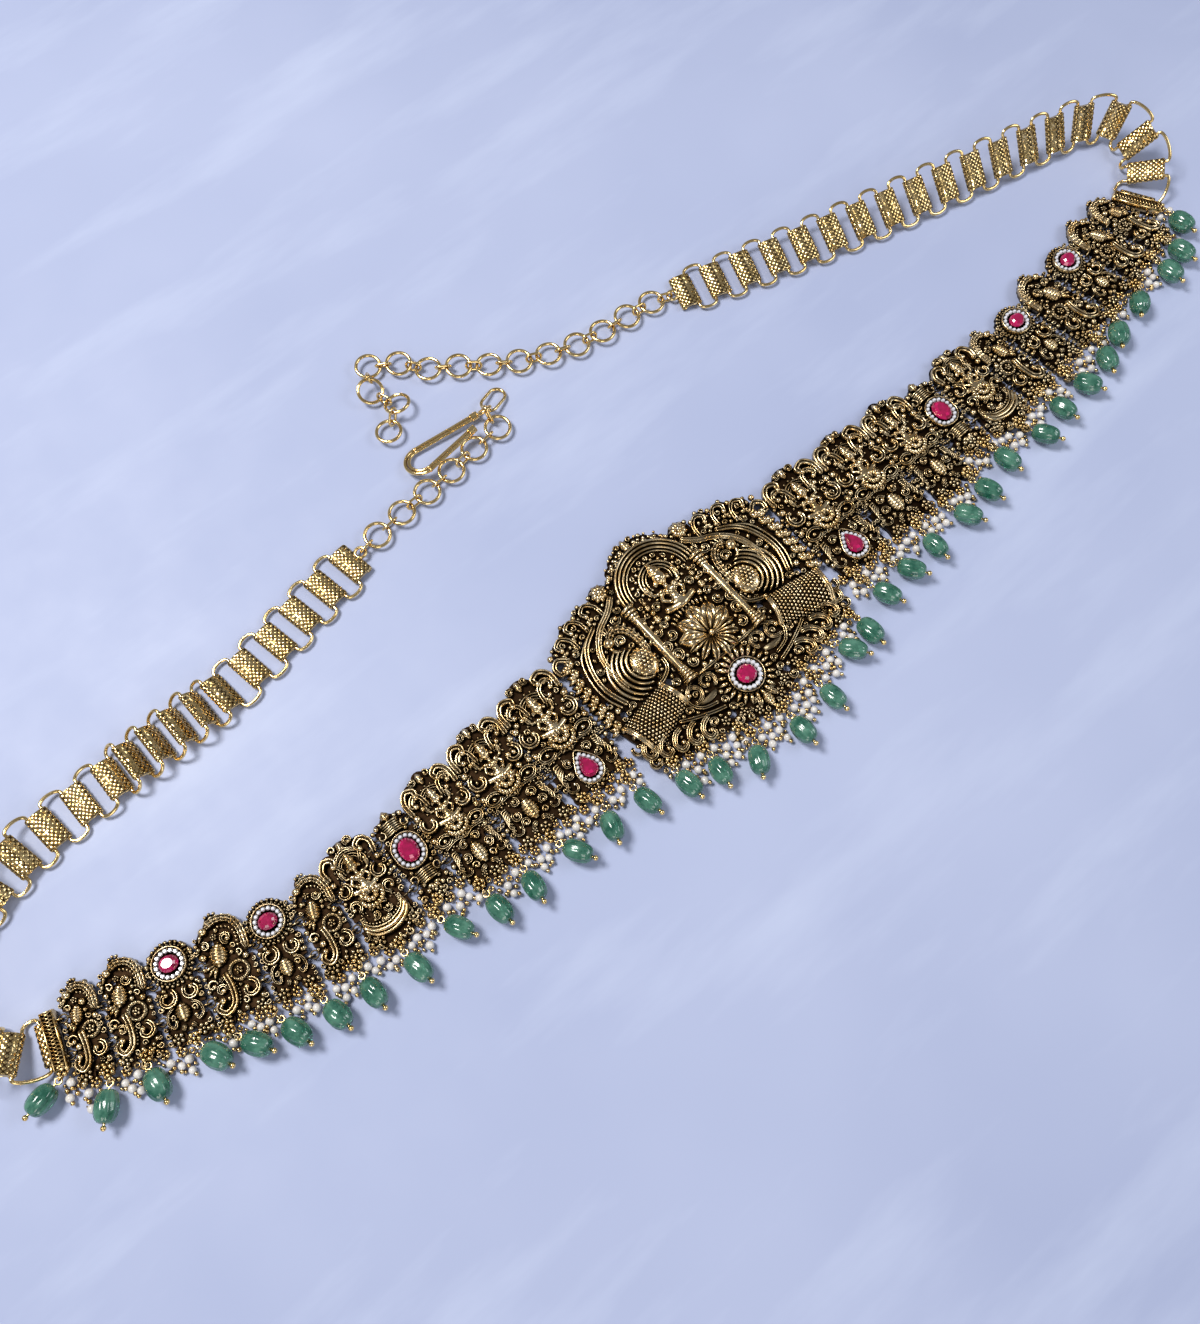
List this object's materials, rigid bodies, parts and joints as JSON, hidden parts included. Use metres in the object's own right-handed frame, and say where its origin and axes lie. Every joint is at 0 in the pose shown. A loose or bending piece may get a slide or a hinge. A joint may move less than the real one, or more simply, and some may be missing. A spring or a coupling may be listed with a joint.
{
  "type": "hip chain",
  "caption": "Temple-style hip chain of cast openwork panels with rubies and a bead fringe, closed behind by book chain, ring chain and a hook.",
  "frame": {"origin": "on the flat back of the medallion, below its lotus, in the plane that the whole chain lies on", "axes": "+X along the front towards its right-hand end as seen from above, +Y up as worn, +Z out of the lying front, away from the surface"},
  "size_m": [0.4197, 0.1704, 0.0147],
  "materials": {
    "antique_gold": "antique gold with dark recesses",
    "polished_gold": "polished gold",
    "ruby": "faceted and polished",
    "green_stone": "ribbed and polished"
  },
  "bodies": {
    "root": {"medallion": "antique_gold", "medallion_ruby": "ruby", "right_goddess_1": "antique_gold", "right_goddess_2": "antique_gold", "right_goddess_3": "antique_gold", "right_barrel_link": "antique_gold", "right_throne_panel": "antique_gold", "right_inner_peacock": "antique_gold", "right_inner_rosette": "antique_gold", "right_middle_peacock": "antique_gold", "right_outer_rosette": "antique_gold", "right_outer_peacock": "antique_gold", "right_end_peacock": "antique_gold", "right_end_bar": "antique_gold", "left_goddess_1": "antique_gold", "left_goddess_2": "antique_gold", "left_goddess_3": "antique_gold", "left_barrel_link": "antique_gold", "left_throne_panel": "antique_gold", "left_inner_peacock": "antique_gold", "left_inner_rosette": "antique_gold", "left_middle_peacock": "antique_gold", "left_outer_rosette": "antique_gold", "left_outer_peacock": "antique_gold", "left_end_peacock": "antique_gold", "left_end_bar": "antique_gold", "right_teardrop_ruby": "ruby", "right_oval_ruby": "ruby", "right_inner_ruby": "ruby", "right_outer_ruby": "ruby", "left_teardrop_ruby": "ruby", "left_oval_ruby": "ruby", "left_inner_ruby": "ruby", "left_outer_ruby": "ruby", "melon_beads": "green_stone", "head_pins": "polished_gold", "right_book_plates": "polished_gold", "right_book_rings": "polished_gold", "left_book_plates": "polished_gold", "left_book_rings": "polished_gold", "right_ring_chain": "polished_gold", "left_ring_chain": "polished_gold", "end_ring": "polished_gold", "hook": "polished_gold", "hook_ring": "polished_gold"}
  },
  "joints": []
}
